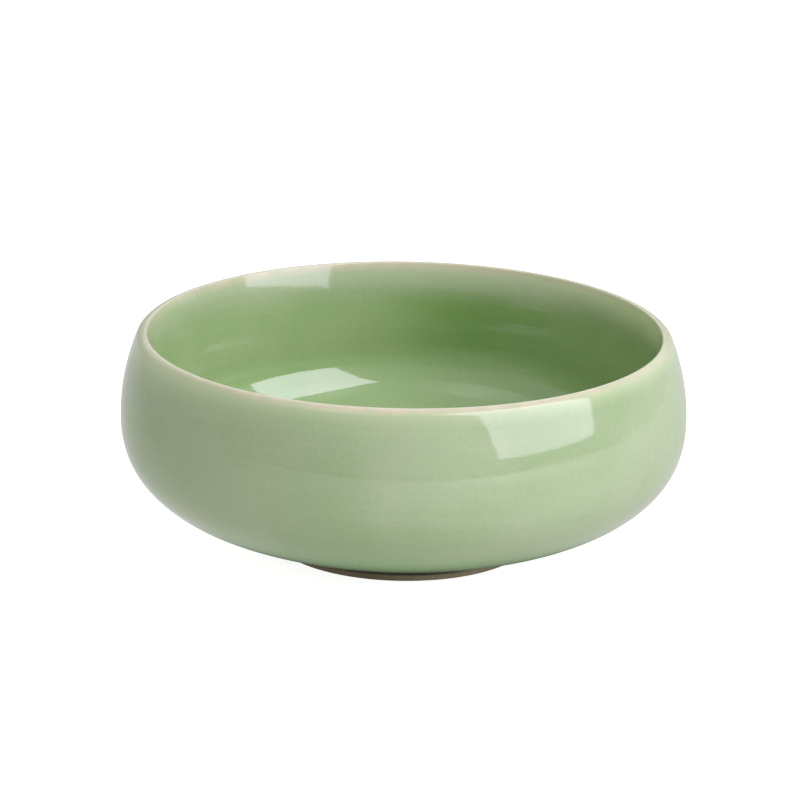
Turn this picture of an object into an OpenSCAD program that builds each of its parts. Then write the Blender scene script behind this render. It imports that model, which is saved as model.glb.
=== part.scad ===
// Brush washer: a low, full-bellied stoneware bowl with an inturned lip, a
// luted foot ring and a celadon glaze that leaves the foot bare.
// Millimetres, +Z up. The origin is on the table under the bowl's centre.

/* [Bowl] */
// Widest diameter, over the glaze
bowl_d = 150; // [130:1:180]
// Height from the table to the crest of the lip
bowl_h = 58; // [50:1:70]
// Height of the widest ring above the table
belly_h = 35.5; // [32:0.5:41]
// Floor thickness at the centre, both glazes included
floor_t = 5; // [4:0.5:7]

/* [Lip] */
// How far the crest of the lip stands inside the widest ring
lip_inset = 6.6; // [5:0.1:8]
// Radius of the lip's soft outer side, glaze included
lip_outer_round = 2.6; // [1.8:0.1:3.6]
// Radius of the lip's crisper inner side, glaze included
lip_inner_round = 0.6; // [0.5:0.1:0.9]

/* [Outside] */
// Slope of the underside where it leaves the foot, in degrees
underside_slope = 9.5; // [6:0.5:14]
// Width of the rounded turn from the underside up to the widest ring
belly_turn = 14.3; // [10:0.1:24]
// Height of the steep flank below the widest ring
belly_flank = 18.4; // [14:0.1:22]

/* [Inside] */
// How far the narrowest ring inside stands in from the crest of the lip
throat_inset = 3.4; // [2.6:0.1:5]
// Height of the narrowest ring inside above the table
throat_h = 32.5; // [32:0.5:40]
// Width of the rounded turn from the floor up to the inside wall
well_turn = 37; // [30:0.5:44]
// Height of the steep inside wall below the narrowest ring
well_flank = 19; // [14:0.5:20]

/* [Foot] */
// Outer diameter of the foot ring
foot_d = 68; // [60:1:76]
// Width of the foot ring
foot_w = 5; // [3.5:0.5:8]
// Height of bare clay left below the edge of the glaze
foot_bare_h = 4.5; // [3:0.1:6]
// How far the glaze laps down over the joint of the foot ring
foot_lap = 0.8; // [0.6:0.1:1.6]
// Radius of the foot ring's turned edges
foot_round = 0.6; // [0.2:0.1:1]

/* [Glaze] */
// Thickness of the glaze outside, at the widest ring
outer_glaze_t = 0.7; // [0.4:0.05:1.2]
// Thickness of the glaze inside, at the narrowest ring and on the floor
inner_glaze_t = 0.8; // [0.4:0.05:1.2]
// Thickness of the glaze where it drains off the lip
lip_glaze_t = 0.3; // [0.15:0.05:0.4]
// Thickness of the glaze on the base inside the foot ring
base_glaze_t = 0.5; // [0.3:0.05:1]

/* [Hidden] */
$fn = 128;

// Steps along each curve of the section
turn_steps = 32;
shoulder_steps = 14;
lip_steps = 10;
edge_steps = 6;

// Radii and heights of the finished surfaces
belly_r = bowl_d / 2;
crest_r = belly_r - lip_inset;
throat_r = crest_r - throat_inset;
foot_r = foot_d / 2;
foot_in_r = foot_r - foot_w;
foot_h = foot_bare_h + foot_lap;
floor_z = foot_h - base_glaze_t + floor_t;

// The lip is two round beads that share a crest, a soft one outside and a
// crisper one inside. Glaze and clay share each bead's centre.
outer_bead = [crest_r, bowl_h - lip_outer_round];
inner_bead = [crest_r, bowl_h - lip_inner_round];

celadon = [0.58, 0.70, 0.50];
pale_celadon = [0.80, 0.81, 0.70];
fired_clay = [0.50, 0.38, 0.27];

// A point on a circle
function on_circle(centre, radius, angle) = centre + radius * [cos(angle), sin(angle)];

// Points on a circular arc from one angle to another
function arc(centre, radius, from, to, steps) =
    [for (i = [0:steps]) on_circle(centre, radius, from + (to - from) * i / steps)];

// Points on a cubic Bezier curve, which leaves a towards b and reaches d from c
function bezier(a, b, c, d, steps) =
    [for (i = [0:steps])
        let (t = i / steps, s = 1 - t)
        s*s*s * a + 3*s*s*t * b + 3*s*t*t * c + t*t*t * d];

function reversed(points) = [for (i = [len(points) - 1:-1:0]) points[i]];

// All points but the first, to carry on from a curve that ends there
function onward(points) = [for (i = [1:len(points) - 1]) points[i]];

// Radius of the arc that stands upright at a ring of the wall, the widest one
// outside or the narrowest one inside, and runs smoothly into a bead of the lip
function shoulder_r(ring, bead, bead_r) =
    let (inset = abs(ring.x - bead.x), rise = bead.y - ring.y)
    (inset*inset + rise*rise - bead_r*bead_r) / (2 * (inset - bead_r));

// Centre of that arc, level with the ring and on the bead's side of it
function shoulder_centre(ring, bead, bead_r) =
    ring + [sign(bead.x - ring.x) * shoulder_r(ring, bead, bead_r), 0];

// Direction from that centre to the bead, where the arc ends
function shoulder_angle(ring, bead, bead_r) =
    let (to_bead = bead - shoulder_centre(ring, bead, bead_r))
    atan2(to_bead.y, to_bead.x);

// Points on that arc, from the ring up to the bead
function shoulder(ring, bead, bead_r) =
    arc(shoulder_centre(ring, bead, bead_r), shoulder_r(ring, bead, bead_r),
        bead.x < ring.x ? 0 : 180, shoulder_angle(ring, bead, bead_r), shoulder_steps);

// Widest ring outside and narrowest ring inside, under a coat
function belly(coat_t) = [belly_r - coat_t, belly_h];
function throat(coat_t) = [throat_r + coat_t, throat_h];

// Outside of the bowl from the foot up to the lip, under a coat left off the
// widest ring and one left off the lip
function outside(start_z, wall_coat, lip_coat) =
    let (
        ring = belly(wall_coat),
        start = [foot_r, start_z],
        run = ring.x - belly_turn - foot_r
    )
    concat(
        bezier(start, start + run * [1, tan(underside_slope)],
            ring - [0, belly_flank], ring, turn_steps),
        onward(shoulder(ring, outer_bead, lip_outer_round - lip_coat))
    );

// Inside of the bowl from the lip down to the floor's centre, under such coats
function inside(wall_coat, lip_coat) =
    let (
        ring = throat(wall_coat),
        bottom_z = floor_z - wall_coat
    )
    concat(
        reversed(shoulder(ring, inner_bead, lip_inner_round - lip_coat)),
        onward(bezier(ring, ring - [0, well_flank],
            [ring.x - well_turn, bottom_z], [0, bottom_z], turn_steps))
    );

// Over the lip, from the outside shoulder to the crest and on to the inside one
function over_lip(outer_coat, inner_coat, lip_coat) =
    let (
        outer_r = lip_outer_round - lip_coat,
        inner_r = lip_inner_round - lip_coat,
        from = shoulder_angle(belly(outer_coat), outer_bead, outer_r),
        to = shoulder_angle(throat(inner_coat), inner_bead, inner_r)
    )
    concat(
        arc(outer_bead, outer_r, from, 90, lip_steps),
        onward(arc(inner_bead, inner_r, 90, to, lip_steps))
    );

// The finished surfaces and the clay surfaces below them
glaze_outside = outside(foot_bare_h, 0, 0);
glaze_lip = over_lip(0, 0, 0);
glaze_inside = inside(0, 0);
clay_outside = outside(foot_h, outer_glaze_t, lip_glaze_t);
clay_lip = over_lip(outer_glaze_t, inner_glaze_t, lip_glaze_t);
clay_inside = inside(inner_glaze_t, lip_glaze_t);

// A coat between a finished surface and the clay below it
module coat(finished, clay) {
    rotate_extrude() polygon(concat(finished, reversed(clay)));
}

// Thrown bowl with a flat underside, on which the foot ring is luted
module clay_body() {
    color(fired_clay)
    rotate_extrude()
        polygon(concat(clay_outside, onward(clay_lip), onward(clay_inside), [[0, foot_h]]));
}

// Turned ring with rounded bottom edges
module foot_ring() {
    color(fired_clay)
    rotate_extrude()
        polygon(concat(
            [[foot_r, foot_h], [foot_in_r, foot_h]],
            arc([foot_in_r + foot_round, foot_round], foot_round, 180, 270, edge_steps),
            arc([foot_r - foot_round, foot_round], foot_round, 270, 360, edge_steps)
        ));
}

// Glaze poured inside, from the lip down to the floor
module inner_glaze() {
    color(celadon) coat(glaze_inside, clay_inside);
}

// Thin, pale glaze over the lip
module lip_glaze() {
    color(pale_celadon) coat(glaze_lip, clay_lip);
}

// Dipped glaze outside, which laps over the joint of the foot ring
module outer_glaze() {
    color(celadon) coat(glaze_outside, clay_outside);
}

// Brushed glaze on the base inside the foot ring
module base_glaze() {
    color(celadon)
    translate([0, 0, foot_h - base_glaze_t])
        cylinder(r = foot_in_r, h = base_glaze_t);
}

clay_body();
foot_ring();
inner_glaze();
lip_glaze();
outer_glaze();
base_glaze();
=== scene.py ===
"""A celadon brush washer: glaze coats, bare foot, studio light and viewpoint.

Everything is in metres, +Z up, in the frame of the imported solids. The sections
below are worked out in millimetres and scaled once, when a piece is made.
"""
import logging
import math
from dataclasses import dataclass, field, replace
from enum import Enum
from typing import Optional, Sequence, Union

import bpy
import numpy as np
from bpy.types import Material, NodeSocket as Socket, NodeTree, Object
from mathutils import Matrix, Vector


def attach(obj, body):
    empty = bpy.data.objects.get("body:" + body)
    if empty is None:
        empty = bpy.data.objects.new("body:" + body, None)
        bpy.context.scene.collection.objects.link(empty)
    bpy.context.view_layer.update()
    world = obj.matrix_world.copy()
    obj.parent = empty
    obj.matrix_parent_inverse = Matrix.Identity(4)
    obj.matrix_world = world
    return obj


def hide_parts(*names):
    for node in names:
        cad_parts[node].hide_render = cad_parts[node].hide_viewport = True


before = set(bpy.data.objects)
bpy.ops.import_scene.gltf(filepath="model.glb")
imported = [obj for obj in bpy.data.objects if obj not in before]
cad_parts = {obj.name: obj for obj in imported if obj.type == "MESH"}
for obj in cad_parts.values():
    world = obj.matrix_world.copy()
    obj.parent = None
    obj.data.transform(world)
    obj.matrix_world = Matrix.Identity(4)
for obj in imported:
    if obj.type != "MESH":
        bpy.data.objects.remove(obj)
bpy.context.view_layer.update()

MM = 0.001
PICTURE_SIDE = 800.0
SHARP_ANGLE = 38.0
FRONT, BEHIND, DOWN = 0.0, 180.0, -90.0
WHITE = (1.0, 1.0, 1.0, 1.0)
BLACK = (0.0, 0.0, 0.0, 1.0)
CREST_ATTRIBUTE = "from_crest"
LOG = logging.getLogger("brush_washer")

Value = Union[float, Socket]
Colour = tuple[float, float, float, float]
Paint = Union[Socket, Colour]
Span = tuple[float, float]
Window = tuple[Span, Span]
Lobe = tuple[float, float]
Scale = tuple[float, float, float]
Inputs = dict[Union[str, int], Union[Value, Sequence[float]]]
Outputs = bpy.types.bpy_prop_collection


class Slot(Enum):
    """Material slots of the record."""

    CLAY = "fired_clay"
    CELADON = "celadon_glaze"
    LIP = "pale_lip_glaze"


class Node(Enum):
    """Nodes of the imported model."""

    CLAY_BODY = "clay_body"
    FOOT_RING = "foot_ring"
    INNER_GLAZE = "inner_glaze"
    LIP_GLAZE = "lip_glaze"
    OUTER_GLAZE = "outer_glaze"
    BASE_GLAZE = "base_glaze"


class Closure(Enum):
    """How a turned section closes: as a ring, or in a pole at each end."""

    RING = "ring"
    POLES = "poles"


def eased(steps: int) -> np.ndarray:
    """Gives steps + 1 parameters from 0 to 1, half a cosine wave."""
    # They crowd together at both ends, so that the first and last faces of a curve
    # lie in its end tangents. Neighbouring pieces then shade as one surface.
    return 0.5 - 0.5 * np.cos(np.linspace(0.0, np.pi, steps + 1))


def arc(centre: np.ndarray, radius: float, start: float, end: float, steps: int) -> np.ndarray:
    """Gives points on an arc: centre plus radius times (cos, sin) of angles in radians."""
    angle = start + (end - start) * eased(steps)
    return centre + radius * np.stack([np.cos(angle), np.sin(angle)], axis=1)


def bezier(control: np.ndarray, steps: int) -> np.ndarray:
    """Gives points on a cubic Bezier curve, the Bernstein sum of its controls.

    Args:
        control: Array of shape (4, 2).
        steps: Number of steps.

    Returns:
        Array of shape (steps + 1, 2).
    """
    t = eased(steps)[:, None]
    weights = np.hstack([(1 - t) ** 3, 3 * t * (1 - t) ** 2, 3 * t ** 2 * (1 - t), t ** 3])
    return weights @ control


def lengths(section: np.ndarray) -> np.ndarray:
    """Gives the distance along a section to each of its points, in its unit."""
    steps = np.linalg.norm(np.diff(section, axis=0), axis=1)
    return np.concatenate([[0.0], np.cumsum(steps)])


def outward(section: np.ndarray) -> np.ndarray:
    """Gives unit normals of a section that has its clay on the left.

    Args:
        section: Points in order, shape (n, 2).

    Returns:
        Normals of shape (n, 2), each tangent turned a quarter to the right.
    """
    along = np.gradient(section, axis=0)
    along /= np.linalg.norm(along, axis=1, keepdims=True)
    return np.stack([along[:, 1], -along[:, 0]], axis=1)


def fade(distance: np.ndarray, start: float, end: float) -> np.ndarray:
    """Gives a smooth step from 0 at one distance to 1 at another."""
    t = np.clip((distance - start) / (end - start), 0.0, 1.0)
    return t * t * (3.0 - 2.0 * t)


def round_axis(columns: int) -> np.ndarray:
    """Gives the angles of a grid's columns round the axis, shape (1, columns)."""
    return np.linspace(0.0, 2.0 * np.pi, columns, endpoint=False)[None, :]


@dataclass(frozen=True)
class BowlSection:
    """Half section of the bowl, with the sizes of the solids in millimetres."""

    belly_r: float = 75.0
    belly_h: float = 35.5
    bowl_h: float = 58.0
    lip_inset: float = 6.6
    lip_outer_round: float = 2.6
    lip_inner_round: float = 0.6
    underside_slope: float = 9.5
    belly_turn: float = 14.3
    belly_flank: float = 18.4
    throat_inset: float = 3.4
    throat_h: float = 32.5
    well_turn: float = 37.0
    well_flank: float = 19.0
    floor_z: float = 9.8
    foot_r: float = 34.0
    foot_w: float = 5.0
    foot_bare_h: float = 4.5
    foot_h: float = 5.3
    foot_round: float = 0.6
    outer_glaze_t: float = 0.7
    inner_glaze_t: float = 0.8
    lip_glaze_t: float = 0.3
    base_glaze_t: float = 0.5

    @property
    def crest_r(self) -> float:
        """Radius of the lip's crest."""
        return self.belly_r - self.lip_inset

    @property
    def foot_in_r(self) -> float:
        """Inner radius of the foot ring."""
        return self.foot_r - self.foot_w

    @property
    def belly(self) -> np.ndarray:
        """Radius and height of the widest ring outside."""
        return np.array([self.belly_r, self.belly_h])

    @property
    def throat(self) -> np.ndarray:
        """Radius and height of the narrowest ring inside."""
        return np.array([self.crest_r - self.throat_inset, self.throat_h])

    @property
    def outer_bead(self) -> np.ndarray:
        """Centre of the lip's soft outer side."""
        return np.array([self.crest_r, self.bowl_h - self.lip_outer_round])

    @property
    def inner_bead(self) -> np.ndarray:
        """Centre of the lip's crisp inner side."""
        return np.array([self.crest_r, self.bowl_h - self.lip_inner_round])

    def clay(self) -> "BowlSection":
        """Gives the section of the clay below the glaze.

        It is thinner by the glaze at the widest ring, at the narrowest ring, on the
        floor and at the lip, and keeps the lip's centres. Its outside leaves the
        foot ring at the top, where the two pieces of clay meet.

        Returns:
            The clay's section.
        """
        return replace(
            self,
            belly_r=self.belly_r - self.outer_glaze_t,
            lip_inset=self.lip_inset - self.outer_glaze_t,
            bowl_h=self.bowl_h - self.lip_glaze_t,
            lip_outer_round=self.lip_outer_round - self.lip_glaze_t,
            lip_inner_round=self.lip_inner_round - self.lip_glaze_t,
            throat_inset=self.throat_inset - self.inner_glaze_t,
            floor_z=self.floor_z - self.inner_glaze_t,
            foot_bare_h=self.foot_h,
        )

    @staticmethod
    def shoulder(
        ring: np.ndarray, bead: np.ndarray, bead_r: float
    ) -> tuple[np.ndarray, float, float]:
        """Finds the arc that stands upright at a ring and runs into a bead.

        Its centre is level with the ring. With inset and rise as the level and
        upright distances from ring to bead, touching gives the radius
        (inset^2 + rise^2 - bead_r^2) / (2 (inset - bead_r)).

        Args:
            ring: Radius and height of the ring.
            bead: Centre of the bead.
            bead_r: Radius of the bead.

        Returns:
            The arc's centre, its radius, and the angle where it meets the bead.
        """
        inset, rise = abs(ring[0] - bead[0]), bead[1] - ring[1]
        radius = (inset ** 2 + rise ** 2 - bead_r ** 2) / (2.0 * (inset - bead_r))
        centre = ring + np.array([math.copysign(radius, bead[0] - ring[0]), 0.0])
        return centre, radius, math.atan2(*(bead - centre)[::-1])

    def outside(self, steps: int) -> np.ndarray:
        """Gives the outside from the foot up to the lip.

        A Bezier curve leaves the foot at the underside's slope and stands
        upright at the widest ring, and the shoulder's arc goes on to the lip.

        Args:
            steps: Number of steps in each of the two curves.

        Returns:
            Points of shape (2 * steps + 1, 2).
        """
        start, ring = np.array([self.foot_r, self.foot_bare_h]), self.belly
        run = self.belly_r - self.belly_turn - self.foot_r
        leave = start + run * np.array([1.0, math.tan(math.radians(self.underside_slope))])
        turn = np.array([start, leave, ring - [0.0, self.belly_flank], ring])
        centre, radius, end = self.shoulder(ring, self.outer_bead, self.lip_outer_round)
        return np.vstack([bezier(turn, steps), arc(centre, radius, 0.0, end, steps)[1:]])

    def over_lip(self, steps: int) -> np.ndarray:
        """Gives the lip from the outside shoulder over the crest to the inside.

        Two arcs share the crest: a soft one outside and a crisp one inside.

        Args:
            steps: Number of steps in each of the two arcs.

        Returns:
            Points of shape (2 * steps + 1, 2), with the crest at number steps.
        """
        outer_r, inner_r, crest = self.lip_outer_round, self.lip_inner_round, math.pi / 2
        start = self.shoulder(self.belly, self.outer_bead, outer_r)[2]
        end = self.shoulder(self.throat, self.inner_bead, inner_r)[2]
        outer = arc(self.outer_bead, outer_r, start, crest, steps)
        return np.vstack([outer, arc(self.inner_bead, inner_r, crest, end, steps)[1:]])

    def inside(self, steps: int) -> np.ndarray:
        """Gives the inside from the lip down to the middle of the floor.

        The flare's arc stands upright at the narrowest ring, and a Bezier curve
        goes on from there and ends level at the axis.

        Args:
            steps: Number of steps in each of the two curves.

        Returns:
            Points of shape (2 * steps + 1, 2).
        """
        ring, middle = self.throat, np.array([0.0, self.floor_z])
        arrive = np.array([ring[0] - self.well_turn, self.floor_z])
        turn = np.array([ring, ring - [0.0, self.well_flank], arrive, middle])
        centre, radius, end = self.shoulder(ring, self.inner_bead, self.lip_inner_round)
        return np.vstack([arc(centre, radius, end, math.pi, steps), bezier(turn, steps)[1:]])


@dataclass(frozen=True)
class ThrowingRelief:
    """Relief that the wheel leaves on the glaze, in millimetres.

    The rings swell round the bowl by a level and a change. Each wave of the
    glaze's edge is a count round the foot, a share and a phase.
    """

    ring_depth: float = 0.012
    ring_set_in: float = 0.025
    ring_pitches: tuple[float, ...] = (2.3, 3.7, 6.1)
    ring_phase: float = 1.7
    ring_ends: Span = (0.5, 6.0)
    spiral_turns: float = 1.0
    swell: Span = (0.6, 0.4)
    swell_turns: float = 2.0
    swell_pitch: float = 9.0
    edge_wave: float = 0.28
    edge_waves: tuple[tuple[int, float, float], ...] = (
        (3, 1.0, 0.4), (5, 0.7, 2.1), (11, 0.5, 4.0), (17, 0.3, 1.2))
    edge_roll: float = 0.22
    edge_roll_width: float = 0.55
    edge_reach: float = 3.0

    def rings(self, along: np.ndarray, angle: np.ndarray) -> np.ndarray:
        """Gives the height of the throwing rings.

        A sum of sine waves of distance along the section, whose phase moves on
        with the angle, as a spiral does. It is cut inwards only, set in a
        little from the solid's face, and fades out at both ends.

        Args:
            along: Distance along the section, shape (n, 1).
            angle: Angle round the axis, shape (1, m).

        Returns:
            Heights of shape (n, m), none above 0.
        """
        pitch = np.array(self.ring_pitches)[:, None, None]
        phase = 2.0 * np.pi * along / pitch + self.spiral_turns * angle + self.ring_phase * pitch
        level, change = self.swell
        swell = level + change * np.sin(self.swell_turns * angle + along / self.swell_pitch)
        ends = fade(along, *self.ring_ends) * fade(along.max() - along, *self.ring_ends)
        cut = self.ring_depth * swell * (1.0 + np.mean(np.sin(phase), axis=0))
        return -ends * (cut + self.ring_set_in)

    def edge(self, angle: np.ndarray) -> np.ndarray:
        """Gives the glaze's height over its lowest edge: a sum of sine waves, from 0 up."""
        wave = sum(share * np.sin(count * angle + phase) for count, share, phase in self.edge_waves)
        return self.edge_wave * (wave - wave.min()) / np.ptp(wave)

    def roll(self, along: np.ndarray) -> np.ndarray:
        """Gives the thick roll at the lower edge: x e^(1 - x), x = distance over its width."""
        x = along / self.edge_roll_width
        return self.edge_roll * x * np.exp(1.0 - x)


@dataclass
class TurnedPiece:
    """A piece turned round the bowl's axis, as grids of section by angle."""

    name: str
    radius: np.ndarray
    height: np.ndarray
    from_crest: Optional[np.ndarray] = None
    closure: Closure = Closure.RING

    def faces(self) -> list[list[int]]:
        """Lists the faces of the grid, counter-clockwise seen from outside.

        Cells join a row to the next and a column to the next round the axis. A
        ring's last row joins its first, and a pole's row is a fan on one point.

        Returns:
            Vertex numbers of quads, and of triangles at the poles.
        """
        rows, columns = self.radius.shape
        index = np.arange(rows * columns).reshape(rows, columns)
        here, after = index, np.roll(index, -1, axis=0)
        if self.closure is Closure.POLES:
            index = index[:rows - 2]
            here, after = index[:-1], index[1:]
        cells = [here, np.roll(here, -1, axis=1), np.roll(after, -1, axis=1), after]
        listed = np.stack(cells, axis=-1).reshape(-1, 4).tolist()
        if self.closure is Closure.POLES:
            first, last = index[0], index[-1]
            below, above = np.full(columns, index.size), np.full(columns, index.size + 1)
            listed += np.stack([below, np.roll(first, -1), first], axis=1).tolist()
            listed += np.stack([above, last, np.roll(last, -1)], axis=1).tolist()
        return listed

    def ordered(self, grid: np.ndarray) -> np.ndarray:
        """Puts a grid into the vertices' order.

        Args:
            grid: Values of shape (rows, columns, k).

        Returns:
            Values of shape (n, k). With poles, the inner rows come first, and then
            one point for the first row and one for the last.
        """
        if self.closure is Closure.RING:
            return grid.reshape(-1, grid.shape[-1])
        poles = np.stack([grid[0].mean(axis=0), grid[-1].mean(axis=0)])
        return np.vstack([grid[1:-1].reshape(-1, grid.shape[-1]), poles])

    def points(self) -> np.ndarray:
        """Works out the vertices: radius times (cos, sin) of the angle, and height.

        Returns:
            Points in metres.
        """
        angle = round_axis(self.radius.shape[1])
        axes = [self.radius * np.cos(angle), self.radius * np.sin(angle), self.height]
        return self.ordered(np.stack(axes, axis=-1)) * MM

    def make(self, material: Material, slot: Slot, node: Node) -> Object:
        """Makes the object, which rides on the root and stands for a node.

        Args:
            material: Finish of the piece.
            slot: Material slot of the record. Not used.
            node: Node that the piece replaces.

        Returns:
            The new object.
        """
        mesh = bpy.data.meshes.new(self.name)
        mesh.from_pydata(self.points().tolist(), [], self.faces())
        mesh.polygons.foreach_set("use_smooth", np.ones(len(mesh.polygons), dtype=bool))
        mesh.set_sharp_from_angle(angle=math.radians(SHARP_ANGLE))
        if self.from_crest is not None:
            layer = mesh.attributes.new(CREST_ATTRIBUTE, "FLOAT", "POINT")
            crest = np.broadcast_to(self.from_crest[:, None, None], (*self.radius.shape, 1))
            layer.data.foreach_set("value", self.ordered(crest).ravel().astype(np.float32))
        mesh.materials.append(material)
        mesh.update()
        piece = bpy.data.objects.new(self.name, mesh)
        bpy.context.scene.collection.objects.link(piece)
        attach(piece, "root")
        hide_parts(node.value)
        return piece


class Wiring:
    """Short ways to add and join the nodes of a shader tree."""

    RAMP_INPUTS = ("Value", "From Min", "From Max", "To Min", "To Max")
    # Sockets of a colour mix go by number, because their names repeat.
    MIX_INPUTS = (0, 6, 7)
    MIX_OUT = 2

    def __init__(self, tree: NodeTree) -> None:
        """Keeps the tree that the nodes go into."""
        self.tree = tree

    def feed(self, node: bpy.types.Node, inputs: Inputs) -> None:
        """Links inputs of a node to sockets, or sets their numbers and colours.

        Args:
            node: The node.
            inputs: A socket or a value for each input, by its name or number.
        """
        for key, value in inputs.items():
            if isinstance(value, Socket):
                self.tree.links.new(value, node.inputs[key])
            else:
                node.inputs[key].default_value = value

    def node(self, kind: str, inputs: Inputs, **settings: object) -> Outputs:
        """Adds a node, sets its properties and feeds its inputs.

        Args:
            kind: Type of the node.
            inputs: A socket or a value for each input, by its name or number.
            **settings: Properties of the node.

        Returns:
            The node's outputs.
        """
        made = self.tree.nodes.new(kind)
        for name, value in settings.items():
            setattr(made, name, value)
        self.feed(made, inputs)
        return made.outputs

    def math(self, operation: str, *values: Value, clamp: bool = False) -> Socket:
        """Gives the result of an operation on one to three values."""
        settings = {"operation": operation, "use_clamp": clamp}
        return self.node("ShaderNodeMath", dict(enumerate(values)), **settings)["Value"]

    def times(self, a: Value, b: Value) -> Socket:
        """Multiplies two values."""
        return self.math("MULTIPLY", a, b)

    def scaled(self, value: Value, factor: Value, offset: Value) -> Socket:
        """Multiplies a value by a factor and adds an offset."""
        return self.math("MULTIPLY_ADD", value, factor, offset)

    def ramp(self, value: Value, levels: Sequence[Value], share: Span = (0.0, 1.0)) -> Socket:
        """Gives a smooth step of a value between two levels, from one share to another."""
        inputs = dict(zip(self.RAMP_INPUTS, (value, *levels, *share)))
        return self.node("ShaderNodeMapRange", inputs, interpolation_type="SMOOTHSTEP")["Result"]

    def window(self, value: Value, rise: Span, fall: Span) -> Socket:
        """Multiplies two smooth steps of a value, one into a window and one out."""
        return self.times(self.ramp(value, rise), self.ramp(value, fall))

    def mix(self, factor: Value, a: Paint, b: Paint, blend: str = "MIX") -> Socket:
        """Gives a mix of two colours."""
        inputs = dict(zip(self.MIX_INPUTS, (factor, a, b)))
        return self.node("ShaderNodeMix", inputs, data_type="RGBA", blend_type=blend)[self.MIX_OUT]

    def coordinates(self, kind: str) -> Socket:
        """Gives one kind of texture coordinates."""
        return self.node("ShaderNodeTexCoord", {})[kind]

    def axes(self, kind: str) -> list[Socket]:
        """Gives the x, y and z of one kind of texture coordinates."""
        return list(self.node("ShaderNodeSeparateXYZ", {0: self.coordinates(kind)}))

    def place(self, scale: Scale) -> Socket:
        """Gives Object coordinates stretched by a factor along each axis."""
        inputs = {"Vector": self.coordinates("Object"), "Scale": scale}
        return self.node("ShaderNodeMapping", inputs)["Vector"]

    def noise(self, scale: Scale, detail: float = 2.0, rough: float = 0.5) -> Socket:
        """Gives a noise on Object coordinates stretched by a factor along each axis."""
        inputs = {"Vector": self.place(scale), "Scale": 1.0, "Detail": detail, "Roughness": rough}
        return self.node("ShaderNodeTexNoise", inputs)["Fac"]

    def bump(self, height: Socket, distance: float) -> Socket:
        """Gives the normal of a bump of full strength."""
        inputs = {"Strength": 1.0, "Distance": distance, "Height": height}
        return self.node("ShaderNodeBump", inputs)["Normal"]

    def group(self, tree: NodeTree, **inputs: Value) -> Outputs:
        """Places a node group with values of its own, and gives its outputs."""
        return self.node("ShaderNodeGroup", inputs, node_tree=tree)


class MaterialSheet(Wiring):
    """A new material, whose nodes feed one Principled shader."""

    def __init__(self, name: str) -> None:
        """Makes the material.

        Args:
            name: Name of the material.
        """
        self.material = bpy.data.materials.new(name)
        self.material.use_nodes = True
        super().__init__(self.material.node_tree)

    def dress(self, inputs: Inputs) -> None:
        """Feeds inputs of the shader."""
        self.feed(self.tree.nodes["Principled BSDF"], inputs)


class GroupSheet(Wiring):
    """A shader node group with named inputs and outputs."""

    def __init__(self, name: str, inputs: dict[str, float]) -> None:
        """Makes the group's tree and its inputs.

        Args:
            name: Name of the group.
            inputs: Name and first value of each number that it takes.
        """
        super().__init__(bpy.data.node_groups.new(name, "ShaderNodeTree"))
        for title, value in inputs.items():
            self._socket(title, "INPUT").default_value = value
        self.given = self.node("NodeGroupInput", {})

    def _socket(self, title: str, side: str) -> bpy.types.NodeTreeInterfaceSocket:
        """Adds a number to the inputs or the outputs of the group."""
        return self.tree.interface.new_socket(title, in_out=side, socket_type="NodeSocketFloat")

    def give(self, results: dict[str, Socket]) -> NodeTree:
        """Makes the group's outputs.

        Args:
            results: Name and socket of each number that it gives.

        Returns:
            The group's tree.
        """
        for title in results:
            self._socket(title, "OUTPUT")
        self.node("NodeGroupOutput", results)
        return self.tree


class Compass:
    """Tells directions or places apart by level distance, bearing and height.

    Bearing 0 is on the camera's side, and 90 is on the right. Heights are in
    degrees, seen from the origin.
    """

    def __init__(self, sheet: Wiring, coordinates: str) -> None:
        """Works out the level distance, the level direction and the height.

        Args:
            sheet: Tree that the nodes go into.
            coordinates: Output of the Texture Coordinate node to start from.
        """
        self.sheet = sheet
        x, y, z = sheet.axes(coordinates)
        self.level = sheet.math("SQRT", sheet.scaled(x, x, sheet.times(y, y)))
        self.right = sheet.math("DIVIDE", x, self.level)
        self.front = sheet.math("DIVIDE", sheet.times(y, -1.0), self.level)
        self.height = sheet.math("DEGREES", sheet.math("ARCTAN2", z, self.level))

    def lobe(self, bearing: float, power: float) -> Socket:
        """Gives the cosine of the angle from a bearing to a power, 0 past a right angle.

        Args:
            bearing: Where it is 1, in degrees.
            power: How narrow it is.

        Returns:
            The lobe's value.
        """
        around = math.radians(bearing)
        across = self.sheet.times(self.right, math.sin(around))
        cosine = self.sheet.scaled(self.front, math.cos(around), across)
        return self.sheet.math("POWER", self.sheet.math("MAXIMUM", cosine, 0.0), power)

    def band(self, bottom: float, top: float, soft: float) -> Socket:
        """Gives 1 between two heights and 0 outside them, with edges soft to each side."""
        rise, fall = (bottom - soft, bottom + soft), (top + soft, top - soft)
        return self.sheet.window(self.height, rise, fall)


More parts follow.
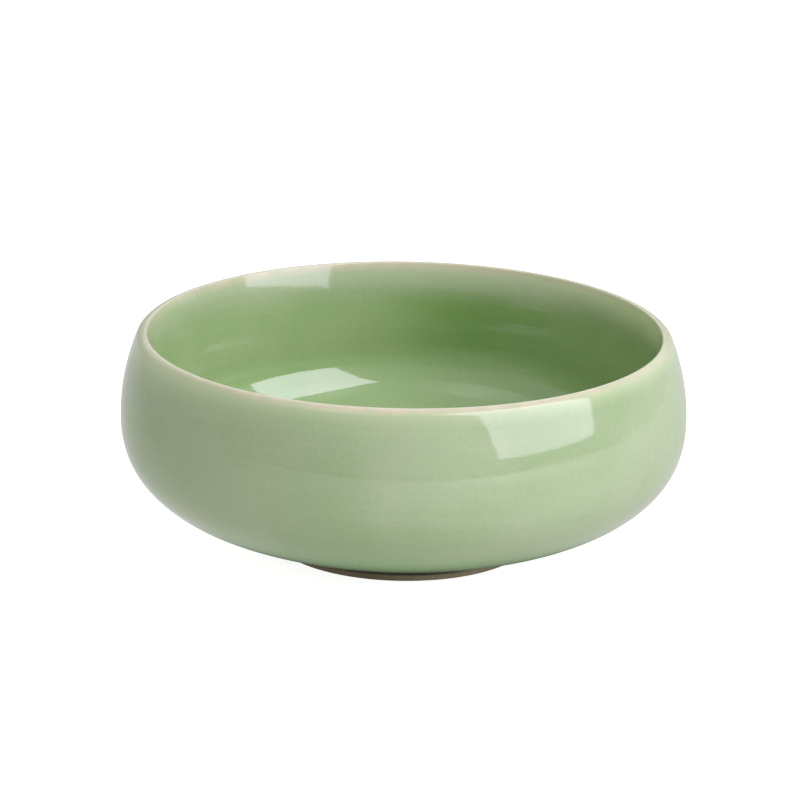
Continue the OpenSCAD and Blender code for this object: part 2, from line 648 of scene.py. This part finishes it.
@dataclass(frozen=True)
class DrainAndPaintedLightPlan:
    """Where the glaze is thin or thick, and where shade, light and a reflection are
    painted on it, in millimetres from the lip's crest.

    Distances below 0 are inside. A span is a smooth step from none of it at the
    first distance to all of it at the second, and a window is two such steps. A
    lobe is a bearing and how narrow it is.
    """

    line: Window = ((-0.9, -0.3), (0.7, 0.1))
    line_waver: float = 0.25
    line_loss: float = 0.8
    band: Window = ((-3.4, -0.4), (3.2, 1.0))
    band_loss: float = 0.55
    stain: Span = (0.35, 0.62)
    stain_share: Span = (0.55, 1.0)
    veil_and_reflection: Window = ((-9.0, -0.5), (6.5, 1.5))
    veil_share: float = 0.35
    inside: Span = (0.2, -0.6)
    # The next three paint a reflection: the veil is paler inside on one side, near the lip.
    reflection_lobe: Lobe = (115.0, 2.0)
    reflection_gain: float = 0.8
    reflection_share: float = -0.05
    film: Window = ((0.5, 3.0), (12.0, 3.0))
    film_lobe: Lobe = (-60.0, 2.0)
    film_share: float = 0.35
    pool: Span = (-4.0, -13.0)
    # Greener glaze in the well, with painted light that makes it lighter.
    well_green_and_light: Span = (-23.0, -29.0)
    # Painted shade: darkens one side of the back wall inside, below the lip.
    run: Window = ((-6.0, -12.0), (-27.0, -22.0))
    back_wall_shade_lobe: Lobe = (160.0, 10.0)
    # Thicker, greener glaze above the foot, with a painted contact shade.
    foot: Span = (40.0, 53.0)
    foot_shade_end: Span = (74.0, 55.0)
    foot_shade_share: Span = (0.4, 1.0)


@dataclass(frozen=True)
class GlazeGrain:
    """The glaze's noises: how fine each is along x, y and z, and their shares."""

    waver: Scale = (90.0, 90.0, 90.0)
    stain: Scale = (210.0, 210.0, 210.0)
    drain_detail: float = 3.0
    broad_streak: Scale = (14.0, 14.0, 420.0)
    broad_share: float = 0.8
    fine_streak: Scale = (30.0, 30.0, 1500.0)
    fine_share: float = 0.6
    cloud: Scale = (26.0, 26.0, 34.0)
    speck: Scale = (900.0, 900.0, 900.0)
    contrast: Span = (0.3, 0.7)
    pit: Scale = (130.0, 130.0, 130.0)


@dataclass
class GlazeEffects:
    """Effects that the glazes share, each built once as a node group."""

    plan: DrainAndPaintedLightPlan
    grain: GlazeGrain

    def __post_init__(self) -> None:
        """Builds the groups."""
        self.drain_and_painted_light = self._drain_and_painted_light()
        self.streaks = self._streaks()
        self.clouds = self._clouds()
        self.pinholes = self._pinholes()

    def _drain_and_painted_light(self) -> NodeTree:
        """Builds the masks of glaze that has drained off the lip and run down, and of painted shade
        and light.

        They are steps of the distance from the crest, which a noise moves a little.
        A cream line lies on the crisp inner edge and a stained tan band over the
        crest, both weaker at the sides. A thin veil fades from them into the wall.
        Inside it is palest on one side, where it paints a reflection, and outside a
        film of it reaches further down on the left. The glaze is thicker in a pool
        inside. The well is greener and has painted light that makes it lighter, a
        painted shade darkens one side of the back wall, and above the foot thicker,
        greener glaze lies under a painted contact shade.

        Returns:
            The group's tree.
        """
        plan, grain = self.plan, self.grain
        sheet = GroupSheet("Glaze Drain And Painted Light", {"Waver": 0.35})
        compass = Compass(sheet, "Object")
        crest = sheet.node("ShaderNodeAttribute", {}, attribute_name=CREST_ATTRIBUTE)["Fac"]
        waver = sheet.math("SUBTRACT", sheet.noise(grain.waver, grain.drain_detail), 0.5)
        fine = sheet.scaled(waver, plan.line_waver, crest)
        place = sheet.scaled(waver, sheet.given["Waver"], crest)
        sides = sheet.times(compass.right, compass.right)

        line = sheet.window(fine, *plan.line)
        stain = sheet.noise(grain.stain, grain.drain_detail)
        stain = sheet.ramp(stain, plan.stain, plan.stain_share)
        band = sheet.times(sheet.window(place, *plan.band), stain)
        # Painted reflection: the veil is paler inside, strongest on one side near the lip.
        pale = sheet.scaled(compass.lobe(*plan.reflection_lobe), plan.reflection_gain, plan.reflection_share)
        pale = sheet.scaled(sheet.ramp(place, plan.inside), pale, plan.veil_share)
        veil_and_reflection = sheet.times(sheet.window(place, *plan.veil_and_reflection), pale)
        film = sheet.times(sheet.window(place, *plan.film), compass.lobe(*plan.film_lobe))
        # Thicker, greener glaze above the foot, with a painted contact shade.
        foot_shade_end = sheet.ramp(place, plan.foot_shade_end, plan.foot_shade_share)
        return sheet.give({
            "Line": sheet.times(line, sheet.scaled(sides, -plan.line_loss, 1.0)),
            "Band": sheet.times(band, sheet.scaled(sides, -plan.band_loss, 1.0)),
            "Veil And Reflection": sheet.scaled(film, plan.film_share, veil_and_reflection),
            "Pool": sheet.ramp(place, plan.pool),
            # Greener glaze in the well, with painted light that makes it lighter.
            "Well Green And Light": sheet.ramp(place, plan.well_green_and_light),
            # Painted shade on one side of the back wall inside.
            "Back Wall Shade": sheet.times(sheet.window(place, *plan.run), compass.lobe(*plan.back_wall_shade_lobe)),
            "Foot": sheet.times(sheet.ramp(place, plan.foot), foot_shade_end),
        })

    def _streaks(self) -> NodeTree:
        """Builds the fine level streaks of the wheel, from two flattened noises.

        Returns:
            The group's tree.
        """
        sheet, grain = GroupSheet("Throwing Streaks", {"Amount": 1.0}), self.grain
        broad = sheet.times(sheet.noise(grain.broad_streak), grain.broad_share)
        both = sheet.scaled(sheet.noise(grain.fine_streak), grain.fine_share, broad)
        centred = sheet.math("SUBTRACT", both, (grain.broad_share + grain.fine_share) / 2.0)
        return sheet.give({"Streak": sheet.times(centred, sheet.given["Amount"])})

    def _clouds(self) -> NodeTree:
        """Builds the cloudy changes of tone in the glaze, from two soft noises.

        Returns:
            The group's tree.
        """
        sheet, grain = GroupSheet("Glaze Clouds", {}), self.grain
        return sheet.give({
            "Tone": sheet.ramp(sheet.noise(grain.cloud), grain.contrast),
            "Speck": sheet.ramp(sheet.noise(grain.speck), grain.contrast),
        })

    def _pinholes(self) -> NodeTree:
        """Builds sparse pits: dots at cell points, kept where a cell's tint is low.

        Returns:
            The group's tree.
        """
        sheet = GroupSheet("Glaze Pinholes", {"Share": 0.06, "Size": 0.055})
        inputs = {"Vector": sheet.place(self.grain.pit), "Scale": 1.0}
        cells = sheet.node("ShaderNodeTexVoronoi", inputs, feature="F1")
        tint = sheet.node("ShaderNodeSeparateColor", {0: cells["Color"]})[0]
        kept = sheet.math("LESS_THAN", tint, sheet.given["Share"])
        dot = sheet.ramp(cells["Distance"], (sheet.given["Size"], 0.0))
        return sheet.give({"Pit": sheet.times(kept, dot)})


@dataclass(frozen=True)
class CeladonFinish:
    """Soft green glaze, glossy and a little cloudy, and pale where it is thin.

    Thick glaze multiplies the green: pooled, and greener in the well and above the
    foot. Painted light lightens the well, a painted shade darkens the back wall
    (run), and a painted contact shade darkens the glaze above the foot. Thin glaze
    (veil, band and line) replaces it, and the veil also paints a reflection inside.
    """

    name: str = "celadon_glaze"
    deep: Colour = (0.247, 0.332, 0.169, 1.0)
    light: Colour = (0.302, 0.371, 0.216, 1.0)
    pooled: Colour = (0.910, 1.010, 0.780, 1.0)
    # Greener glaze in the well, with painted light that makes it lighter.
    well_green_and_light: Colour = (1.020, 1.100, 1.020, 1.0)
    # Colour of the painted shade on the back wall inside.
    run: Colour = (0.660, 0.810, 0.560, 1.0)
    # Thicker, greener glaze above the foot, with a painted contact shade.
    foot: Colour = (0.520, 0.850, 0.340, 1.0)
    # Pale thin glaze, which also paints a reflection inside near the lip.
    veil_and_reflection: Colour = (0.520, 0.600, 0.360, 1.0)
    band: Colour = (0.550, 0.480, 0.340, 1.0)
    line: Colour = (0.520, 0.525, 0.385, 1.0)
    pit: Colour = (0.095, 0.105, 0.055, 1.0)
    waver: float = 0.35
    streak_amount: float = 1.0
    streak_tone: float = 0.7
    streak_height: float = 0.35
    speck_tone: float = 0.3
    speck_rough: float = 0.02
    speck_height: float = 0.12
    pit_share: float = 0.06
    pit_size: float = 0.055
    pit_tint: float = 0.55
    pit_depth: float = 2.0
    bump_depth: float = 0.02 * MM
    roughness: float = 0.06
    ior: float = 1.52
    pool_gloss: float = 0.45
    coat_roughness: float = 0.03
    coat_ior: float = 1.6

    def material(self, effects: GlazeEffects) -> Material:
        """Makes the glaze's material.

        Args:
            effects: The glaze's shared node groups.

        Returns:
            The new material.
        """
        sheet = MaterialSheet(self.name)
        drain_and_painted_light = sheet.group(effects.drain_and_painted_light, Waver=self.waver)
        clouds = sheet.group(effects.clouds)
        streak = sheet.group(effects.streaks, Amount=self.streak_amount)["Streak"]
        pit = sheet.group(effects.pinholes, Share=self.pit_share, Size=self.pit_size)["Pit"]

        mottled = sheet.scaled(clouds["Speck"], self.speck_tone, -self.speck_tone / 2.0)
        mottled = sheet.scaled(streak, self.streak_tone, mottled)
        tone = sheet.math("ADD", mottled, clouds["Tone"], clamp=True)
        colour = sheet.mix(tone, self.deep, self.light)
        # The pool is thicker glaze. The well has painted light, the run painted shade, and the foot
        # thicker glaze under a painted contact shade.
        thick_glaze_and_painted_light = {"Pool": self.pooled, "Well Green And Light": self.well_green_and_light, "Back Wall Shade": self.run, "Foot": self.foot}
        for name, tint in thick_glaze_and_painted_light.items():
            colour = sheet.mix(drain_and_painted_light[name], colour, tint, "MULTIPLY")
        # Thin glaze replaces the green, and the veil also paints a reflection.
        thin_glaze_and_reflection = {"Veil And Reflection": self.veil_and_reflection, "Band": self.band, "Line": self.line}
        for name, tint in thin_glaze_and_reflection.items():
            colour = sheet.mix(drain_and_painted_light[name], colour, tint)

        height = sheet.times(clouds["Speck"], self.speck_height)
        height = sheet.scaled(streak, self.streak_height, height)
        height = sheet.scaled(pit, -self.pit_depth, height)
        sheet.dress({
            "Base Color": sheet.mix(sheet.times(pit, self.pit_tint), colour, self.pit),
            "Roughness": sheet.scaled(clouds["Speck"], self.speck_rough, self.roughness),
            "Normal": sheet.bump(height, self.bump_depth),
            "Coat Weight": sheet.times(drain_and_painted_light["Pool"], self.pool_gloss),
            "Coat Roughness": self.coat_roughness,
            "Coat IOR": self.coat_ior,
            "IOR": self.ior,
        })
        return sheet.material


@dataclass(frozen=True)
class BareClayFinish:
    """Brown fired clay, dry and gritty, with painted shade where the glaze meets it."""

    name: str = "fired_clay"
    pale: Colour = (0.400, 0.345, 0.205, 1.0)
    dark: Colour = (0.210, 0.170, 0.095, 1.0)
    painted_shade_colour: Colour = (0.060, 0.050, 0.030, 1.0)
    grain: Scale = (1400.0, 1400.0, 2600.0)
    grain_detail: float = 4.0
    grain_roughness: float = 0.65
    grain_share: float = 0.6
    patch: Scale = (70.0, 70.0, 160.0)
    patch_share: float = 0.5
    contrast: Span = (0.35, 0.75)
    # Painted shade: the clay goes near black above this height, under the glaze's edge.
    shade_height: Span = (1.5 * MM, 2.3 * MM)
    shade_waver: float = 0.6 * MM
    roughness: float = 0.75
    grain_rough: float = 0.15
    bump_depth: float = 0.12 * MM

    def material(self) -> Material:
        """Makes the bare clay's material, with painted shade above a ragged height.

        Returns:
            The new material.
        """
        sheet = MaterialSheet(self.name)
        grain = sheet.noise(self.grain, self.grain_detail, self.grain_roughness)
        patch = sheet.noise(self.patch)
        both = sheet.scaled(grain, self.grain_share, sheet.times(patch, self.patch_share))
        colour = sheet.mix(sheet.ramp(both, self.contrast), self.dark, self.pale)
        ragged = sheet.scaled(patch, self.shade_waver, sheet.axes("Object")[2])
        sheet.dress({
            "Base Color": sheet.mix(sheet.ramp(ragged, self.shade_height), colour, self.painted_shade_colour),
            "Roughness": sheet.scaled(grain, self.grain_rough, self.roughness),
            "Normal": sheet.bump(grain, self.bump_depth),
        })
        return sheet.material


@dataclass
class GlazeCoats:
    """The four coats of glaze, each a closed shell between finish and clay."""

    section: BowlSection
    relief: ThrowingRelief
    turns: int = 320
    fine_steps: int = 72
    lip_steps: int = 26
    plain_steps: int = 14
    creep_from: float = 0.9
    creep_width: float = 0.1
    creep_rise: float = 0.35
    base_from_crest: float = 90.0
    pieces: list[Object] = field(default_factory=list)

    def _lip_from_crest(self) -> np.ndarray:
        """Gives each lip point's distance from the crest, below 0 inside."""
        along = lengths(self.section.over_lip(self.lip_steps))
        return along[self.lip_steps] - along

    def _shell(
        self, finished: np.ndarray, raised: np.ndarray, clay: np.ndarray, from_crest: np.ndarray
    ) -> tuple[np.ndarray, np.ndarray, np.ndarray]:
        """Sets a raised finished section and a plain clay one round the axis.

        Args:
            finished: Points of the glaze's face, shape (n, 2).
            raised: How far each point is raised along its normal, shape (n, m).
            clay: Points of the clay below, in the order of the face.
            from_crest: Distance of each point of the face from the crest.

        Returns:
            Grids of radius and height, and each row's distance from the crest. The
            clay's rows, backwards, come after the finished ones.
        """
        normal, clay = outward(finished), clay[::-1]
        face = [finished[:, None, i] + normal[:, None, i] * raised for i in (0, 1)]
        back = [np.repeat(clay[:, i:i + 1], self.turns, axis=1) for i in (0, 1)]
        behind = np.linspace(from_crest[-1], from_crest[0], len(clay))
        radius, height = (np.vstack(rows) for rows in zip(face, back))
        return radius, height, np.append(from_crest, behind)

    def outer(self) -> TurnedPiece:
        """Shapes the coat outside, with its roll and wavy edge above the foot.

        The edge's wave lifts the lowest rows and dies out up the wall.

        Returns:
            The shaped piece.
        """
        bowl, relief, angle = self.section, self.relief, round_axis(self.turns)
        finished, clay = bowl.outside(self.fine_steps), bowl.clay().outside(self.plain_steps)
        along = lengths(finished)
        raised = relief.rings(along[:, None], angle) + relief.roll(along)[:, None]
        from_crest = self._lip_from_crest()[0] + along[-1] - along
        radius, height, from_crest = self._shell(finished, raised, clay, from_crest)
        lift = relief.edge(angle) * (1.0 - fade(along, 0.0, relief.edge_reach))[:, None]
        height[:len(finished)] += lift
        return TurnedPiece("outer_glaze_coat", radius, height, from_crest)

    def lip(self) -> TurnedPiece:
        """Shapes the thin coat over the lip.

        Returns:
            The shaped piece.
        """
        bowl, plain = self.section, np.zeros((1, self.turns))
        finished, clay = bowl.over_lip(self.lip_steps), bowl.clay().over_lip(self.plain_steps)
        shell = self._shell(finished, plain, clay, self._lip_from_crest())
        return TurnedPiece("lip_glaze_coat", *shell)

    def inner(self) -> TurnedPiece:
        """Shapes the coat inside, from the middle of its back to that of its face.

        Returns:
            The shaped piece.
        """
        bowl = self.section
        finished, clay = bowl.inside(self.fine_steps), bowl.clay().inside(self.plain_steps)
        along = lengths(finished)
        rings = self.relief.rings(along[:, None], round_axis(self.turns))
        shell = self._shell(finished, rings, clay, self._lip_from_crest()[-1] - along)
        shell = (np.roll(rows, len(clay), axis=0) for rows in shell)
        return TurnedPiece("inner_glaze_coat", *shell, Closure.POLES)

    def base(self) -> TurnedPiece:
        """Shapes the coat on the base, which thins a little at the foot ring.

        Its face is level in the middle and rises with the square of the distance
        into the last part of its radius.

        Returns:
            The shaped piece.
        """
        bowl = self.section
        reach = np.linspace(0.0, bowl.foot_in_r, self.plain_steps * 2 + 1)
        creep = (reach / bowl.foot_in_r - self.creep_from) / self.creep_width
        creep = self.creep_rise * np.clip(creep, 0.0, 1.0) ** 2
        face = np.stack([reach, bowl.foot_h - bowl.base_glaze_t * (1.0 - creep)], axis=1)
        back = np.stack([reach[::-1], np.full(len(reach), bowl.foot_h)], axis=1)
        rows = np.vstack([face, back])
        radius, height = (np.repeat(rows[:, i:i + 1], self.turns, axis=1) for i in (0, 1))
        from_crest = np.full(len(rows), self.base_from_crest)
        return TurnedPiece("base_glaze_coat", radius, height, from_crest, Closure.POLES)

    def build(self, celadon: Material, pale: Material) -> None:
        """Makes the coats and dresses them.

        Args:
            celadon: Material of the inside, outside and base.
            pale: Material of the lip.
        """
        self.pieces = [
            self.outer().make(celadon, Slot.CELADON, Node.OUTER_GLAZE),
            self.lip().make(pale, Slot.LIP, Node.LIP_GLAZE),
            self.inner().make(celadon, Slot.CELADON, Node.INNER_GLAZE),
            self.base().make(celadon, Slot.CELADON, Node.BASE_GLAZE),
        ]


@dataclass
class BareClay:
    """The clay that the glaze leaves bare, and the bowl's body under the glaze."""

    section: BowlSection
    turns: int = 256
    edge_steps: int = 12
    side_steps: int = 10
    groove_depth: float = 0.05
    groove_pitch: float = 0.8
    groove_start: float = 0.2
    groove_end: float = 0.4
    pieces: list[Object] = field(default_factory=list)

    def foot(self) -> TurnedPiece:
        """Shapes the foot ring with rounded lower edges and turning grooves.

        The grooves are a cosine wave of height on both sides, cut into the clay
        only. The resting face stays flat.

        Returns:
            The shaped piece.
        """
        bowl = self.section
        inner_r, outer_r, edge = bowl.foot_in_r, bowl.foot_r, bowl.foot_round
        up = np.linspace(edge, bowl.foot_h, self.side_steps + 1)[1:]
        inner_edge, outer_edge = np.array([[inner_r + edge, edge], [outer_r - edge, edge]])
        level, bottom, end = math.pi, 1.5 * math.pi, 2.0 * math.pi
        across, height = np.vstack([
            arc(inner_edge, edge, level, bottom, self.edge_steps),
            arc(outer_edge, edge, bottom, end, self.edge_steps),
            np.stack([np.full(self.side_steps, outer_r), up], axis=1),
            np.stack([np.full(self.side_steps, inner_r), up[::-1]], axis=1),
        ]).T
        groove = 0.5 - 0.5 * np.cos(2.0 * np.pi * (height - edge) / self.groove_pitch)
        groove = groove * fade(height, edge, edge + self.groove_start)
        glazed = bowl.foot_bare_h
        groove = groove * (1.0 - fade(height, glazed - self.groove_end, glazed))
        inwards = np.where(across > inner_r + bowl.foot_w / 2, -1.0, 1.0)
        across = across + self.groove_depth * groove * inwards
        grids = (np.repeat(values[:, None], self.turns, axis=1) for values in (across, height))
        return TurnedPiece("bare_foot_ring", *grids)

    def build(self, clay: Material) -> None:
        """Makes the foot ring, and dresses the body under the glaze.

        Args:
            clay: Material of the bare clay.
        """
        self.pieces = [self.foot().make(clay, Slot.CLAY, Node.FOOT_RING)]
        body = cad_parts[Node.CLAY_BODY.value]
        for number in range(len(body.material_slots)):
            body.material_slots[number].material = clay


@dataclass(frozen=True)
class Softbox:
    """A flat, even light that faces the bowl."""

    name: str
    azimuth: float
    elevation: float
    distance: float
    width: float
    height: float
    radiance: float
    tint: tuple[float, float, float]
    aim_z: float = 0.03

    def build(self) -> Object:
        """Makes the light, turned to the bowl from azimuth and elevation.

        Azimuth 0 is on the camera's side, and 90 is on the right. An even
        rectangle of that radiance gives out pi times radiance times area.

        Returns:
            The new light.
        """
        around, up = math.radians(self.azimuth), math.radians(self.elevation)
        level = math.cos(up)
        towards = Vector((math.sin(around) * level, -math.cos(around) * level, math.sin(up)))
        data = bpy.data.lights.new(self.name, "AREA")
        data.shape = "RECTANGLE"
        data.size, data.size_y = self.width, self.height
        data.energy = math.pi * self.radiance * self.width * self.height
        data.color = self.tint
        light = bpy.data.objects.new(self.name, data)
        light.location = Vector((0.0, 0.0, self.aim_z)) + towards * self.distance
        light.rotation_euler = towards.to_track_quat("Z", "Y").to_euler()
        bpy.context.scene.collection.objects.link(light)
        return light


@dataclass(frozen=True)
class Panel:
    """A soft patch of the room, brighter or darker than the rest of it.

    It is strongest at its bearing and lies between two heights, in degrees.
    """

    name: str
    bearing: float
    bottom: float
    top: float
    level: float


@dataclass
class Studio:
    """White table, one large softbox on the right, a dim room and a pale backdrop."""

    key: Softbox = Softbox("key_softbox", 58.0, 33.0, 0.9, 0.80, 1.05, 4.1, (0.98, 0.93, 1.12))
    room_level: float = 0.57
    room: tuple[Panel, ...] = (
        Panel("left wall", -100.0, DOWN, 30.0, 0.3),
        Panel("camera side", FRONT, DOWN, 45.0, -0.15),
        Panel("right wall", 65.0, 17.0, 45.0, 0.25),
        Panel("high right", 65.0, 45.0, 70.0, 0.7),
        Panel("high left", -55.0, 45.0, 70.0, 0.8),
        Panel("high behind", BEHIND, 17.0, 70.0, 0.75),
        Panel("right corner", 115.0, DOWN, 70.0, -0.1),
    )
    room_power: float = 6.0
    room_soft: float = 4.0
    backdrop: float = 0.60
    backdrop_turn: float = 130.0
    backdrop_top: float = 40.0
    backdrop_soft: float = 0.03
    plate_colour: Colour = (0.88, 0.88, 0.87, 1.0)
    plate_roughness: float = 0.9
    floor_reach: tuple[float, float, float] = (3.0, 3.0, 3.0)
    floor_drop: float = 0.02 * MM
    floor_glow: float = 0.86
    table_reach: tuple[float, float, float] = (0.48, 0.37, 0.80)
    table_drop: float = 0.5 * MM
    table_level: float = 0.75
    table_glare: float = 0.6
    table_glare_power: float = 2.0
    key_glare: float = 1.3
    key_glare_turn: float = 50.0
    key_glare_reach: Span = (0.15, 0.40)
    shade: Span = (0.1, 0.8)
    shade_reach: Span = (0.036, 0.066)
    clear_reach: Span = (0.07, 0.13)

    def _plate(
        self, name: str, reach: tuple[float, float, float], drop: float
    ) -> tuple[Object, MaterialSheet]:
        """Makes a flat white plate with a material of its own.

        Args:
            name: Name of the plate and of its material.
            reach: How far it reaches to each side, to the camera and away from it.
            drop: How far it lies below the bowl's foot.

        Returns:
            The new object and its material's sheet.
        """
        side, front, back = reach
        corners = ((-side, -front), (side, -front), (side, back), (-side, back))
        mesh = bpy.data.meshes.new(name)
        mesh.from_pydata([(x, y, -drop) for x, y in corners], [], [tuple(range(len(corners)))])
        sheet = MaterialSheet(name)
        sheet.dress({
            "Base Color": self.plate_colour,
            "Roughness": self.plate_roughness,
            "Specular IOR Level": 0.0,
            "Emission Color": WHITE,
        })
        mesh.materials.append(sheet.material)
        plate = bpy.data.objects.new(name, mesh)
        bpy.context.scene.collection.objects.link(plate)
        return plate, sheet

    def _floor(self) -> None:
        """Makes the pale floor that the camera sees, which lights nothing."""
        floor, sheet = self._plate("floor", self.floor_reach, self.floor_drop)
        sheet.dress({"Emission Strength": self.floor_glow})
        floor.visible_glossy = False
        floor.visible_diffuse = False
        floor.visible_shadow = False

    def _table(self) -> None:
        """Makes the table's light on the bowl, which the camera doesn't see.

        It is dark under the bowl, dim beside it and brighter in the open. It
        glares on the camera's side, and more so far out, where the key light
        falls on it.
        """
        table, sheet = self._plate("table", self.table_reach, self.table_drop)
        table.visible_camera = False
        compass = Compass(sheet, "Object")
        clear = sheet.ramp(compass.level, self.clear_reach)
        shade = sheet.ramp(compass.level, self.shade_reach, self.shade)
        glare = compass.lobe(FRONT, self.table_glare_power)
        glow = sheet.scaled(glare, self.table_glare, self.table_level)
        far_out = sheet.ramp(compass.level, self.key_glare_reach, (0.0, self.key_glare))
        glow = sheet.scaled(compass.lobe(self.key_glare_turn, self.room_power), far_out, glow)
        dimmed = sheet.times(sheet.math("SUBTRACT", 1.0, clear), shade)
        strength = sheet.scaled(clear, glow, dimmed)
        sheet.dress({"Base Color": BLACK, "Emission Strength": strength})

    def _room(self) -> None:
        """Makes the room's light, with its panels, and a pale backdrop.

        The backdrop is behind the bowl, beyond a bearing and below a height. The
        camera sees plain white.
        """
        world = bpy.data.worlds.new("studio_room")
        world.use_nodes = True
        sheet = Wiring(world.node_tree)
        compass = Compass(sheet, "Generated")
        level = self.room_level
        for panel in self.room:
            across = compass.band(panel.bottom, panel.top, self.room_soft)
            patch = sheet.times(compass.lobe(panel.bearing, self.room_power), across)
            patch.node.label = panel.name
            level = sheet.scaled(patch, panel.level, level)
        limit = math.cos(math.radians(BEHIND - self.backdrop_turn))
        edge = (limit - self.backdrop_soft, limit + self.backdrop_soft)
        behind = sheet.ramp(compass.lobe(BEHIND, 1.0), edge)
        behind = sheet.times(behind, compass.band(DOWN, self.backdrop_top, self.room_soft))
        level = sheet.math("MAXIMUM", level, sheet.times(behind, self.backdrop))
        seen = sheet.node("ShaderNodeLightPath", {})["Is Camera Ray"]
        strength = sheet.math("MAXIMUM", level, seen)
        sheet.feed(world.node_tree.nodes["Background"], {"Strength": strength, "Color": WHITE})
        bpy.context.scene.world = world

    def build(self) -> None:
        """Makes the floor, the table, the light and the room."""
        self._floor()
        self._table()
        self.key.build()
        self._room()
        bpy.context.scene.view_settings.view_transform = "Standard"


@dataclass(frozen=True)
class Viewpoint:
    """The camera: where it stands, and where it puts the bowl in the picture."""

    distance: float = 1.2
    elevation: float = 17.74
    roll: float = 0.89
    focal_pixels: float = 4519.0
    target_z: float = 0.029
    target_pixel: Span = (403.8, 435.6)
    sensor: float = 36.0
    clip: Span = (0.05, 20.0)

    def build(self) -> Object:
        """Makes the camera and makes it the scene's own.

        It stands in front, looks along +Y and down, and is turned a little so
        that the target lands on its pixel. The roll turns the picture clockwise.

        Returns:
            The new camera.
        """
        tilt = math.radians(self.elevation)
        back = Vector((0.0, -math.cos(tilt), math.sin(tilt)))
        place = Vector((0.0, 0.0, self.target_z)) + back * self.distance
        middle = PICTURE_SIDE / 2.0
        pan, lift = (math.atan((pixel - middle) / self.focal_pixels) for pixel in self.target_pixel)
        turn = Matrix.Rotation(math.pi / 2.0 - tilt, 4, "X")
        turn = turn @ Matrix.Rotation(pan, 4, "Y") @ Matrix.Rotation(lift, 4, "X")
        turn = turn @ Matrix.Rotation(math.radians(self.roll), 4, "Z")
        data = bpy.data.cameras.new("viewpoint")
        data.sensor_width = self.sensor
        data.lens = self.focal_pixels / PICTURE_SIDE * self.sensor
        data.clip_start, data.clip_end = self.clip
        camera = bpy.data.objects.new("viewpoint", data)
        camera.matrix_world = Matrix.Translation(place) @ turn
        bpy.context.scene.collection.objects.link(camera)
        bpy.context.scene.camera = camera
        return camera


def main() -> None:
    """Builds the bowl's coats, its bare clay, the studio and the viewpoint."""
    logging.basicConfig(level=logging.INFO, format="%(name)s: %(message)s")
    section = BowlSection()
    effects = GlazeEffects(DrainAndPaintedLightPlan(), GlazeGrain())
    celadon = CeladonFinish().material(effects)
    pale = CeladonFinish(name="pale_lip_glaze").material(effects)
    coats = GlazeCoats(section, ThrowingRelief())
    coats.build(celadon, pale)
    clay = BareClay(section)
    clay.build(BareClayFinish().material())
    Studio().build()
    Viewpoint().build()
    for piece in coats.pieces + clay.pieces:
        LOG.info("%s: %d faces", piece.name, len(piece.data.polygons))


if __name__ == "__main__":
    main()
